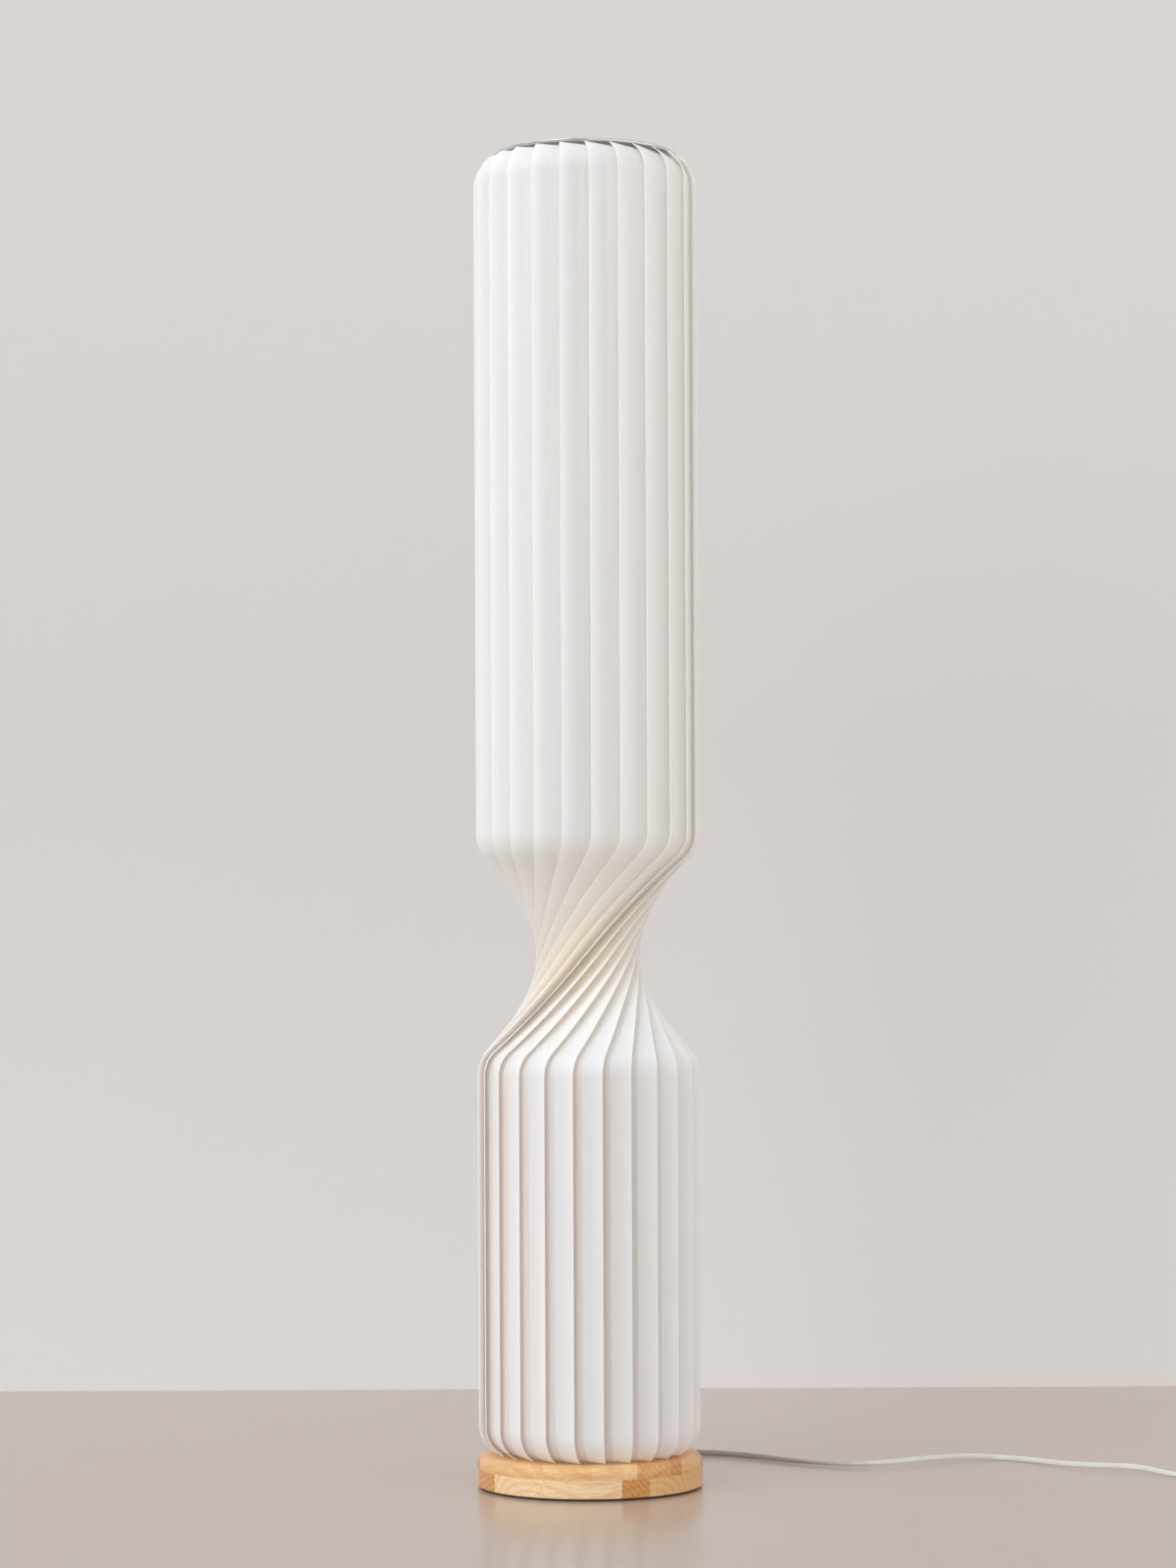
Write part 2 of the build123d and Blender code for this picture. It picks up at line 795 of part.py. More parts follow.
def biarc(start, start_direction, end, end_direction):
    """Two arcs that meet smoothly, from one point and direction to another."""
    chord = end - start
    total = start_direction + end_direction
    bend = 2 * (1 - start_direction.dot(end_direction))
    along = chord.dot(total)
    reach = (-along + sqrt(along**2 + bend * chord.dot(chord))) / bend
    first = start + start_direction * reach
    second = end - end_direction * reach
    middle = (first + second) * 0.5
    TangentArc(start, middle, tangent=start_direction)
    TangentArc(middle, end, tangent=second - first)


def coil_stations():
    """Turns at which the coil's spans meet: half turns, but quarter turns in the climb and last."""
    stations = [half / 2 for half in range(int(2 * coil_total) + 1)]
    return sorted(stations + [coil_total, inward_turns + 0.25])


def least_gap(wire):
    """Least gap of a coiled tube to itself, measured on points along its middle line."""
    count = int(wire.length / measure_step)
    points = [wire @ (index / count) for index in range(count + 1)]
    apart = int(measure_apart / measure_step)
    least = min((p - q).length for index, p in enumerate(points) for q in points[index + apart:])
    return least - cord_diameter


def make_coil():
    """The cord that isn't in use: one tube that spirals in, climbs a layer and spirals out."""
    stations = coil_stations()
    start, start_direction = coil_point(stations[0])
    end, end_direction = coil_point(stations[-1])
    lead_in = start - start_direction * cord_diameter
    with BuildPart() as coil:
        with BuildLine() as path:
            Line(lead_in, start)
            for before, after in zip(stations, stations[1:]):
                biarc(*coil_point(before), *coil_point(after))
            Line(end, end + end_direction * cord_diameter)
        with BuildSketch(Plane(lead_in, z_dir=start_direction)):
            Circle(cord_diameter / 2)
        sweep()
    length = path.wires()[0].length
    ratio = coil.part.volume / (pi * cord_diameter**2 / 4 * length)
    print("coil length", round(length), "volume over section times length", round(ratio, 4))
    print("coil least gap to itself", round(least_gap(path.wires()[0]), 2))
    return coil.part


def make_switch_lower():
    with BuildPart() as lower:
        with BuildSketch(Plane((*switch_centre, 0))):
            Rectangle(switch_width, switch_length)
        extrude(amount=switch_split)
        fillet(lower.edges().filter_by(Axis.Z), switch_corner)
        chamfer(lower.faces().sort_by(Axis.Z)[0].edges(), edge_chamfer)
        with BuildSketch(Plane((*switch_centre, switch_split))):
            Rectangle(window_width, window_length + 2 * pocket_margin)
        extrude(amount=-pocket_below, mode=Mode.SUBTRACT)
    return lower.part


def make_switch_upper():
    """Upper half of the switch's housing, with the window and the seats of the hinge pin."""
    with BuildPart() as upper:
        with BuildSketch(Plane((*switch_centre, switch_split))):
            Rectangle(switch_width, switch_length)
        extrude(amount=switch_height - switch_split)
        fillet(upper.edges().filter_by(Axis.Z), switch_corner)
        fillet(upper.faces().sort_by(Axis.Z)[-1].edges(), switch_rounding)
        with BuildSketch(Plane((*switch_centre, switch_split))):
            Rectangle(window_width, window_length + 2 * pocket_margin)
        extrude(amount=pocket_above, mode=Mode.SUBTRACT)
        with BuildSketch(Plane((*switch_centre, switch_split))):
            Rectangle(window_width, window_length)
        extrude(amount=switch_height, mode=Mode.SUBTRACT)
        hinge_plane = Plane((*switch_centre, hinge_height), x_dir=(0, 1, 0), z_dir=(1, 0, 0))
        with BuildSketch(hinge_plane):
            Circle(hinge_radius + clearance / 2)
        extrude(amount=window_width / 2 + hinge_reach + clearance, both=True, mode=Mode.SUBTRACT)
    return upper.part


def make_rocker():
    """Rocker with two slanted faces on its hinge pin, tipped to its off position."""
    half_length = window_length / 2 - rocker_gap
    with BuildPart() as rocker:
        with BuildSketch(Plane((0, 0, 0), x_dir=(0, 1, 0), z_dir=(1, 0, 0))):
            with BuildLine():
                Polyline(
                    (-half_length + rocker_foot_inset, -rocker_depth),
                    (half_length - rocker_foot_inset, -rocker_depth),
                    (half_length, 0),
                    (half_length - rocker_draft, rocker_end),
                    (0, rocker_end - half_length * tan(radians(rocker_turn))),
                    (-half_length + rocker_draft, rocker_end),
                    (-half_length, 0),
                    close=True,
                )
            make_face()
        extrude(amount=window_width / 2 - rocker_gap, both=True)
        fillet(rocker.edges().filter_by(Axis.X).group_by(Axis.Z)[-1], edge_chamfer)
        with BuildSketch(Plane((0, 0, 0), x_dir=(0, 1, 0), z_dir=(1, 0, 0))):
            Circle(hinge_radius)
        extrude(amount=window_width / 2 + hinge_reach, both=True)
    place = Location((*switch_centre, hinge_height), (rocker_turn, 0, 0))
    return rocker.part.moved(place)


def plug_place():
    """Where the cord enters the plug, turned along the end of the coil."""
    tail, direction = coil_point(coil_total)
    return Location(tail + direction * cord_diameter, degrees(atan2(-direction.X, direction.Y)))


def make_plug():
    """Flat two-pin plug: a round relief for the cord and a body that widens to the pins."""
    height = plug_place().position.Z
    pin_face = plug_relief + plug_body_length
    right = [(across, plug_relief + along) for across, along in plug_shoulder]
    right += [(plug_width / 2, pin_face - plug_straight), (plug_width / 2, pin_face)]
    left = [(-across, along) for across, along in reversed(right)]
    with BuildPart() as plug:
        with BuildSketch(Plane.XY):
            with BuildLine():
                Polyline(right + left, close=True)
            make_face()
        extrude(amount=height, both=True)
        chamfer(plug.edges().filter_by(GeomType.LINE).filter_by(Axis.Z, reverse=True), plug_bevel)
        with BuildSketch(Plane.XZ):
            Circle(plug_relief_radius)
        extrude(amount=-plug_relief - clearance)
    return plug.part.moved(plug_place())


def make_plug_pins():
    with BuildPart() as pins:
        with BuildSketch(Plane.XZ.offset(-plug_relief - plug_body_length)):
            with Locations((-pin_spacing / 2, 0), (pin_spacing / 2, 0)):
                Circle(pin_radius)
        extrude(amount=-pin_length)
        fillet(pins.edges().group_by(Axis.Y)[-1], pin_rounding)
    return pins.part.moved(plug_place())


strip = make_strip()
for index, azimuth in enumerate(crossing_azimuths()):
    save(strip.rotate(Axis.Z, azimuth), f"strip_{index + 1:02d}")

save(make_pad(), "base_pad")
save(make_lower_layer(), "wood_lower_layer")
save(make_upper_layer(), "wood_upper_layer")
save(make_ballast(), "ballast_plate")
save(make_tube(), "centre_tube")
save(make_tube_nuts(), "tube_nuts")
save(make_tube_collar(), "tube_collar")
save(make_lower_rim(), "lower_rim")
save(make_upper_rim(), "upper_rim")
save(make_top_ring(), "top_ring")
save(make_screws(), "countersunk_screws")
save(make_disc(-1), "lower_disc")
save(make_disc(1), "upper_disc")

for name, level, azimuth in (("lower", lower_holder_level, 0), ("upper", upper_holder_level, 180)):
    save(make_bracket(level, azimuth), f"{name}_bracket")
    save(make_holder(level, azimuth), f"{name}_holder")
    save(make_cap(level, azimuth), f"{name}_bulb_cap")
    save(make_globe(level, azimuth), f"{name}_bulb_globe")
    save(make_branch(level, azimuth), f"{name}_bulb_lead")

save(make_terminal_block(), "terminal_block")
save(make_base_lead(), "base_lead")
save(make_gland(), "cord_gland")
save(make_cord(cord_route, "cord_run"), "cord_run")
save(make_switch_lower(), "switch_lower_half")
save(make_switch_upper(), "switch_upper_half")
save(make_rocker(), "switch_rocker")
save(make_cord(link_route, "cord_link"), "cord_link")
save(make_coil(), "cord_coil")
save(make_plug(), "plug_body")
save(make_plug_pins(), "plug_pins")
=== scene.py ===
import json
import math
import bpy
from mathutils import Matrix, Vector


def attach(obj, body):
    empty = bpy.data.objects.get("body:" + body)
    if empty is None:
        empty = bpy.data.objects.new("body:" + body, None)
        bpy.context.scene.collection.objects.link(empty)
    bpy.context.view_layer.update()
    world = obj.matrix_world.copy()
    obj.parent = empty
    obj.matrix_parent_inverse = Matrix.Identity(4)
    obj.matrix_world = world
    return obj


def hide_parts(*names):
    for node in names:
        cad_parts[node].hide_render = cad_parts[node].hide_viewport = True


# Floor lamp with a twisted strip shade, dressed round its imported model. Metres, +Z up, front is -Y.

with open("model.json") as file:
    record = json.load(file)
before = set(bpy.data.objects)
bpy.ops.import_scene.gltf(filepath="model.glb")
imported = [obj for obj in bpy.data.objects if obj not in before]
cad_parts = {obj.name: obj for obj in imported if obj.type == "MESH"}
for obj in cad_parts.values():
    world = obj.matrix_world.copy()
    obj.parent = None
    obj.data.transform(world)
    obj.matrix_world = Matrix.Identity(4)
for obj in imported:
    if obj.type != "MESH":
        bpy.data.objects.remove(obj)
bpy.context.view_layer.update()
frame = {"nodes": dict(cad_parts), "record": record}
nodes = frame["nodes"]

# Camera. The whole frame of the photograph is 1200 x 1600 pixels.
FRAME_HEIGHT_PX = 1600
FOCAL_PX = 4025
HORIZON_PX = 955
SENSOR_MM = 36
CAMERA_DISTANCE = 3.5
CAMERA_HEIGHT = 0.488
CAMERA_ROLL_DEG = 0.25

# Cord. It is flat, with two rounded cores side by side. The arc is the part of a core outside the groove.
CORD_WIDTH = 0.005
CORD_THICKNESS = 0.0029
CORE_ARC_DEG = 150
CORE_STEPS = 6
CORD_RESOLUTION = 6

# Put-away coil of the cord, in two layers.
COIL_CENTRE_X = 0.640
COIL_START_Y = -0.157
COIL_RADIUS = 0.028
COIL_STEP = 0.0057
INWARD_TURNS = 2.5
CLIMB_TURNS = 0.5
OUTWARD_TURNS = 2.25
CLIMB_DIP = 0.001
COIL_POINTS_PER_TURN = 14

# Strips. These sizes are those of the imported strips, and the steps are finer.
STRIP_COUNT = 24
STRIP_WIDTH = 0.0406
STRIP_THICKNESS = 0.0006
STRIP_TILT_DEG = 7.8
FIRST_CROSSING_DEG = -3.0
DRUM_RADIUS = 0.0985
EDGE_TWIST_DEG = 130.0
SHOULDER_RADIUS = 0.026
SHOULDER_TURN_DEG = 62.0
LOWER_SHOULDER = 0.056
UPPER_SHOULDER = 1.151
WAIST_HEIGHT = 0.472
BEND_RADIUS = 0.029
BEND_TURN_DEG = 48.0
CROSSING_SLOPE_DEG = 39.5
INNER_EDGE_RADIUS = 0.0056
BOW_WIDTH = 0.015
SHOULDER_STEPS = 14
BEND_STEPS = 12
CROSSING_STEPS = 10

# On the strips' map, X is over the first value below in a band of painted shade, where no second strip lies
# behind the first. Of that part this width shows, up to the outer edge of the strip that covers the rest.
PAINTED_SHADE_FROM = 0.5
PAINTED_SHADE_FADE = 0.01
PAINTED_SHADE_WIDTH = 0.0077


def polar(radius, azimuth_deg, height=0.0):
    """Point at an azimuth: 0 is the front of the lamp, 90 its right."""
    turn = math.radians(azimuth_deg)
    return Vector((radius * math.sin(turn), -radius * math.cos(turn), height))


def sideways(azimuth_deg):
    """Level direction that goes round the axis, to higher azimuths."""
    turn = math.radians(azimuth_deg)
    return Vector((math.cos(turn), math.sin(turn), 0))


def linear(red, green, blue):
    """Linear colour from display values of 0 to 255."""
    def one(value):
        value /= 255
        return value / 12.92 if value <= 0.04045 else ((value + 0.055) / 1.055) ** 2.4
    return tuple(one(value) for value in (red, green, blue))


def new_object(name, data):
    made = bpy.data.objects.new(name, data)
    bpy.context.scene.collection.objects.link(made)
    return made


# Camera and cord

def make_camera():
    data = bpy.data.cameras.new("camera")
    data.sensor_fit = "VERTICAL"
    data.sensor_height = SENSOR_MM
    data.lens = FOCAL_PX / FRAME_HEIGHT_PX * SENSOR_MM
    data.shift_y = (HORIZON_PX - FRAME_HEIGHT_PX / 2) / FRAME_HEIGHT_PX
    camera = new_object("camera", data)
    camera.location = (0, -CAMERA_DISTANCE, CAMERA_HEIGHT)
    look = Matrix.Rotation(math.radians(90), 4, "X")
    roll = Matrix.Rotation(math.radians(CAMERA_ROLL_DEG), 4, "Y")
    camera.matrix_world = Matrix.Translation(camera.location) @ roll @ look
    bpy.context.scene.camera = camera


# Route of the cord: strain relief, floor, hand switch, floor, start of the coil.
CORD_ROUTE = [
    (0.0, 0.1215, 0.0095),
    (0.0, 0.1415, 0.0095),
    (0.009, 0.165, 0.0038),
    (0.031, 0.187, 0.0025),
    (0.065, 0.202, 0.0025),
    (0.104, 0.207, 0.0025),
    (0.143, 0.188, 0.0025),
    (0.181, 0.148, 0.0025),
    (0.219, 0.122, 0.0025),
    (0.260, 0.111, 0.0038),
    (0.299, 0.128, 0.0052),
    (0.340, 0.157, 0.0044),
    (0.380, 0.162, 0.0025),
    (0.411, 0.137, 0.0026),
    (0.434, 0.103, 0.0038),
    (0.464, 0.082, 0.0050),
    (0.498, 0.080, 0.0042),
    (0.521, 0.040, 0.0026),
    (0.548, 0.009, 0.0036),
    (0.582, -0.022, 0.0055),
    (0.582, -0.050, 0.0050),
    (0.582, -0.081, 0.0045),
    (0.582, -0.112, 0.0050),
    (0.582, -0.135, 0.0050),
    (0.605, -0.157, 0.0025),
    (0.635, -0.157, 0.0025),
]

# Turn of the flat cord about its line at the first points of the route, in degrees: 0 lies flat,
# and near 90 it stands on its narrow edge. It lies flat from there on.
CORD_TILTS = [0, 0, 25, 50, 65, 72, 62, 28, 10, 48, 80, 84, 84, 84, 84, 84, 82, 60, 30]


def coil_route():
    """Points of the put-away coil: it spirals in, climbs a layer and spirals out."""
    outer = COIL_RADIUS + COIL_STEP * INWARD_TURNS / 2
    inner = COIL_RADIUS - COIL_STEP * INWARD_TURNS / 2
    centre = Vector((COIL_CENTRE_X, COIL_START_Y + outer, 0))
    total = INWARD_TURNS + CLIMB_TURNS + OUTWARD_TURNS
    count = round(total * COIL_POINTS_PER_TURN)
    points = []
    for index in range(count + 1):
        turns = total * index / count
        climb = min(1, max(0, (turns - INWARD_TURNS) / CLIMB_TURNS))
        spread = max(INWARD_TURNS - turns, turns - INWARD_TURNS - CLIMB_TURNS, 0)
        radius = inner + COIL_STEP * spread - CLIMB_DIP * math.sin(math.pi * climb)
        height = CORD_WIDTH / 2 + COIL_STEP * (1 - math.cos(math.pi * climb)) / 2
        points.append(centre + polar(radius, 360 * turns, height))
    tail = sideways(360 * total) * CORD_WIDTH
    return points + [points[-1] + tail]


def cord_profile():
    """Closed section of the flat cord, one unit wide: two round cores with a groove between them."""
    core = CORD_THICKNESS / CORD_WIDTH / 2
    offset = 0.5 - core
    points = []
    for side, turned in ((1, 0), (-1, math.pi)):
        for step in range(CORE_STEPS + 1):
            angle = math.radians(-CORE_ARC_DEG / 2 + CORE_ARC_DEG * step / CORE_STEPS) + turned
            points.append((side * offset + core * math.cos(angle), core * math.sin(angle)))
    curve = bpy.data.curves.new("cord_profile", "CURVE")
    curve.dimensions = "2D"
    spline = curve.splines.new("POLY")
    spline.points.add(len(points) - 1)
    for point, (x, y) in zip(spline.points, points):
        point.co = (x, y, 0, 1)
    spline.use_cyclic_u = True
    profile = new_object("cord_profile", curve)
    profile.hide_render = True
    return profile


def make_cord(material):
    """One flexible cord from the strain relief through the hand switch to the plug, with its coil."""
    points = [Vector(point) for point in CORD_ROUTE] + coil_route()
    curve = bpy.data.curves.new("cord", "CURVE")
    curve.dimensions = "3D"
    curve.twist_mode = "Z_UP"
    curve.resolution_u = CORD_RESOLUTION
    curve.bevel_mode = "OBJECT"
    curve.bevel_object = cord_profile()
    curve.use_fill_caps = True
    spline = curve.splines.new("NURBS")
    spline.points.add(len(points) - 1)
    for index, (point, place) in enumerate(zip(spline.points, points)):
        point.co = (*place, 1)
        point.radius = CORD_WIDTH
        point.tilt = math.radians(CORD_TILTS[index]) if index < len(CORD_TILTS) else 0
    spline.order_u = 3
    spline.use_endpoint_u = True
    cord = new_object("cord", curve)
    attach(cord, "lamp")
    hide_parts("cord_run", "cord_link", "cord_coil")
    curve.materials.append(material)


# Shape of one strip

class StripShape:
    """Middle line and lean of a strip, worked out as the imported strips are.

    A frame is a place on the middle line, with the directions across the strip and down along it.
    """

    def __init__(self):
        half = STRIP_WIDTH / 2
        tilt = math.radians(STRIP_TILT_DEG)
        reach = half * math.cos(tilt)
        self.centre_radius = math.sqrt(DRUM_RADIUS**2 - reach**2) - half * math.sin(tilt)
        edge_azimuth = math.degrees(math.asin(reach / DRUM_RADIUS))
        self.drum_azimuth = EDGE_TWIST_DEG / 2 + edge_azimuth
        self.drum_side = self.centre_radius * math.sin(math.radians(self.drum_azimuth))
        self.drum_front = self.centre_radius * math.cos(math.radians(self.drum_azimuth))
        self.waist_front = INNER_EDGE_RADIUS + half
        self.drum_lean = 90 - self.drum_azimuth - STRIP_TILT_DEG
        bend = math.radians(BEND_TURN_DEG)
        slope = math.radians(CROSSING_SLOPE_DEG)
        bend_side = self.drum_side - BEND_RADIUS * (1 - math.cos(bend))
        self.arc = bend_side / (math.cos(slope) - math.cos(bend))
        self.drum_height = self.arc * (math.sin(bend) - math.sin(slope)) + BEND_RADIUS * math.sin(bend)

    def bow(self, side):
        """How far the middle line comes forward, at a distance to the side of its crossing."""
        reach = math.hypot(self.drum_side, BOW_WIDTH) - BOW_WIDTH
        drop = (math.hypot(side, BOW_WIDTH) - BOW_WIDTH) / reach
        return self.waist_front - (self.waist_front - self.drum_front) * drop

    def bow_slope(self, side):
        """Change of the bow with the distance to the side."""
        reach = math.hypot(self.drum_side, BOW_WIDTH) - BOW_WIDTH
        return -(self.waist_front - self.drum_front) * side / math.hypot(side, BOW_WIDTH) / reach

    def waist_frame(self, side, height, angle_deg):
        """Frame in the waist, where the strip runs at an angle from straight down."""
        lean = math.radians(self.drum_lean) * side / self.drum_side
        across = Vector((-math.sin(lean), -math.cos(lean), 0))
        run = math.sin(math.radians(angle_deg))
        down = Vector((-run, self.bow_slope(side) * run, -math.cos(math.radians(angle_deg))))
        return Vector((side, -self.bow(side), WAIST_HEIGHT + height)), across, down

    def shoulder_frame(self, turn_deg, end):
        """Frame in a drum's far end: end is 1 at the top of the lamp and -1 at the base."""
        angle = math.radians(turn_deg)
        azimuth = end * self.drum_azimuth
        level = UPPER_SHOULDER if end > 0 else LOWER_SHOULDER
        outward = polar(1, azimuth)
        radius = self.centre_radius - SHOULDER_RADIUS * (1 - math.cos(angle))
        place = polar(radius, azimuth, level + end * SHOULDER_RADIUS * math.sin(angle))
        normal = outward * math.cos(angle) + Vector((0, 0, end * math.sin(angle)))
        down = outward * (end * math.sin(angle)) + Vector((0, 0, -math.cos(angle)))
        tilt = math.radians(STRIP_TILT_DEG)
        across = sideways(azimuth) * (-end * math.cos(tilt)) + normal * math.sin(tilt)
        return place, across, down

    def crossing(self, end):
        """Frames from a drum's bend to the middle of the waist, which is left out."""
        frames = []
        slope = math.radians(CROSSING_SLOPE_DEG)
        for step in range(CROSSING_STEPS):
            turn = BEND_TURN_DEG - (BEND_TURN_DEG - CROSSING_SLOPE_DEG) * step / CROSSING_STEPS
            side = self.arc * (math.cos(slope) - math.cos(math.radians(turn)))
            height = self.arc * (math.sin(math.radians(turn)) - math.sin(slope))
            frames.append(self.waist_frame(end * side, end * height, turn))
        return frames

    def bend(self, end):
        """Frames from a drum's straight part to the start of the crossing, which is left out."""
        frames = []
        for step in range(BEND_STEPS):
            angle = BEND_TURN_DEG * step / BEND_STEPS
            side = self.drum_side - BEND_RADIUS * (1 - math.cos(math.radians(angle)))
            height = self.drum_height - BEND_RADIUS * math.sin(math.radians(angle))
            frames.append(self.waist_frame(end * side, end * height, angle))
        return frames

    def frames(self):
        """Frames of the whole strip, from the top ring down to the base."""
        turns = [SHOULDER_TURN_DEG * step / SHOULDER_STEPS for step in range(SHOULDER_STEPS + 1)]
        top = [self.shoulder_frame(turn, 1) for turn in reversed(turns)]
        bottom = [self.shoulder_frame(turn, -1) for turn in turns]
        upper = self.bend(1) + self.crossing(1)
        lower = self.bend(-1) + self.crossing(-1)
        middle = self.waist_frame(0, 0, CROSSING_SLOPE_DEG)
        return top + upper + [middle] + lower[::-1] + bottom


def painted_shade_scale(place, across, down):
    """Factor that turns the distance from a strip's outer edge into X on the strips' map."""
    edge = place + across * (STRIP_WIDTH / 2)
    radius = math.hypot(edge.x, edge.y)
    round_axis = Vector((-edge.y, edge.x, 0)) / radius
    narrowed = math.sqrt(1 - down.dot(round_axis) ** 2)
    share = math.tau * radius / STRIP_COUNT
    return PAINTED_SHADE_FROM / (narrowed * (share - PAINTED_SHADE_WIDTH))


def strip_mesh(name, frames, azimuth_deg):
    """Thin strip through the frames, smooth along its length, with sharp long edges and ends."""
    turn = Matrix.Rotation(math.radians(azimuth_deg), 3, "Z")
    half = STRIP_WIDTH / 2
    skin = STRIP_THICKNESS / 2
    corners = [(-half, -skin), (half, -skin), (half, skin), (-half, skin)]
    around = len(corners)
    vertices = []
    scales = []
    for place, across, down in frames:
        down = down.normalized()
        across = (across - down * across.dot(down)).normalized()
        normal = down.cross(across)
        scales.append(painted_shade_scale(place, across, down))
        for x, y in corners:
            vertices.append(turn @ (place + across * x + normal * y))
    faces = []
    for ring in range(len(frames) - 1):
        for side in range(around):
            a = around * ring + side
            b = around * ring + (side + 1) % around
            faces.append((a, b, b + around, a + around))
    last = around * (len(frames) - 1)
    faces.append((3, 2, 1, 0))
    faces.append((last, last + 1, last + 2, last + 3))
    mesh = bpy.data.meshes.new(name)
    mesh.from_pydata(vertices, [], faces)
    mesh.shade_smooth()
    across_and_along = mesh.uv_layers.new(name="across_and_along")
    for loop in mesh.loops:
        ring, corner = divmod(loop.vertex_index, around)
        at_outer_edge = corners[corner][0] > 0
        inward = 0 if at_outer_edge else STRIP_WIDTH * scales[ring]
        across_and_along.data[loop.index].uv = (inward, ring / (len(frames) - 1))
    sharp = mesh.attributes.new("sharp_edge", "BOOLEAN", "EDGE")
    for edge in mesh.edges:
        a, b = edge.vertices
        along = abs(a - b) == around
        at_end = max(a, b) < around or min(a, b) >= last
        sharp.data[edge.index].value = along or at_end
    return mesh


def make_strips(material):
    frames = StripShape().frames()
    for index in range(STRIP_COUNT):
        name = f"shade_strip_{index + 1:02d}"
        mesh = strip_mesh(name, frames, FIRST_CROSSING_DEG + index * 360 / STRIP_COUNT)
        mesh.materials.append(material)
        strip = new_object(name, mesh)
        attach(strip, "lamp")
        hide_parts(f"strip_{index + 1:02d}")


# Materials

class Nodes:
    """Short calls for a material's node tree."""

    def __init__(self, name):
        self.material = bpy.data.materials.new(name)
        self.material.use_nodes = True
        self.tree = self.material.node_tree
        self.tree.nodes.clear()

    def add(self, kind, inputs=None, **settings):
        """New node with its settings, and with inputs by name or number."""
        node = self.tree.nodes.new(kind)
        for name, value in settings.items():
            setattr(node, name, value)
        for name, value in (inputs or {}).items():
            self.feed(node.inputs[name], value)
        return node

    def feed(self, socket, value):
        """Links an output to the socket, or else sets the socket to a number, place or colour."""
        if isinstance(value, bpy.types.NodeSocket):
            self.tree.links.new(value, socket)
        elif socket.type == "RGBA":
            socket.default_value = (*value, 1)
        else:
            socket.default_value = value

    def shader(self, color, roughness, **others):
        named = {name.replace("_", " "): value for name, value in others.items()}
        return self.add("ShaderNodeBsdfPrincipled", {"Base Color": color, "Roughness": roughness, **named})

    def coordinates(self, kind="Object"):
        return self.add("ShaderNodeTexCoord").outputs[kind]

    def coordinate(self, axis, kind="Object"):
        """One of the coordinates: X, Y or Z."""
        return self.add("ShaderNodeSeparateXYZ", {"Vector": self.coordinates(kind)}).outputs[axis]

    def mapped(self, scale=(1, 1, 1), location=(0, 0, 0)):
        """Object coordinates times a scale for each axis, and then moved."""
        inputs = {"Vector": self.coordinates(), "Scale": scale, "Location": location}
        return self.add("ShaderNodeMapping", inputs).outputs["Vector"]

    def noise(self, vector, scale, detail, roughness=0.5, distortion=0):
        inputs = {"Vector": vector, "Scale": scale, "Detail": detail, "Roughness": roughness}
        inputs["Distortion"] = distortion
        return self.add("ShaderNodeTexNoise", inputs).outputs["Fac"]

    def ramp_node(self, factor, stops, interpolation="LINEAR"):
        """Colour ramp through stops of a position and a colour, which is opaque if it has no alpha."""
        node = self.add("ShaderNodeValToRGB", {"Fac": factor})
        node.color_ramp.interpolation = interpolation
        elements = node.color_ramp.elements
        while len(elements) < len(stops):
            elements.new(1.0)
        for element, (position, color) in zip(elements, stops):
            element.position = position
            element.color = (*color, 1)[:4]
        return node

    def ramp(self, factor, stops):
        return self.ramp_node(factor, stops).outputs["Color"]

    def calculate(self, operation, *values):
        inputs = dict(enumerate(values))
        return self.add("ShaderNodeMath", inputs, operation=operation).outputs["Value"]

    def multiply(self, color, other, factor):
        inputs = {"Factor": factor, "A": color, "B": other}
        mix = self.add("ShaderNodeMix", inputs, data_type="RGBA", blend_type="MULTIPLY")
        return mix.outputs["Result"]

    def bump(self, shader, height, strength, distance):
        inputs = {"Height": height, "Strength": strength, "Distance": distance}
        self.feed(shader.inputs["Normal"], self.add("ShaderNodeBump", inputs).outputs["Normal"])

    def finish(self, shader):
        self.add("ShaderNodeOutputMaterial", {"Surface": shader.outputs[0]})
        return self.material


BLACK = (0, 0, 0)
WHITE = (1, 1, 1)

# Depth of the bumps in the strips and the wood, and in all other surfaces.
GRAIN_DEPTH = 0.0003
TEXTURE_DEPTH = 0.0002

# Plastic of the strips: how far light goes in it, its tones, and the painted shade on one layer alone, tinted
# by its height.
SCATTER_LENGTH = 0.0020
SCATTER_REACH = (1.0, 0.95, 0.9)
STRIP_TONES = [(0.3, linear(251, 248, 242)), (0.75, linear(254, 251, 247))]
# Painted shade by height: darker and pinkish low down, warm beige at the waist, and faint above.
PAINTED_SHADE_TINTS = [
    (0.33, (0.85, 0.78, 0.77)),
    (0.40, (0.94, 0.89, 0.87)),
    (0.46, (0.99, 0.93, 0.86)),
    (0.54, (0.99, 0.96, 0.93)),
    (0.62, (0.98, 0.97, 0.96)),
]


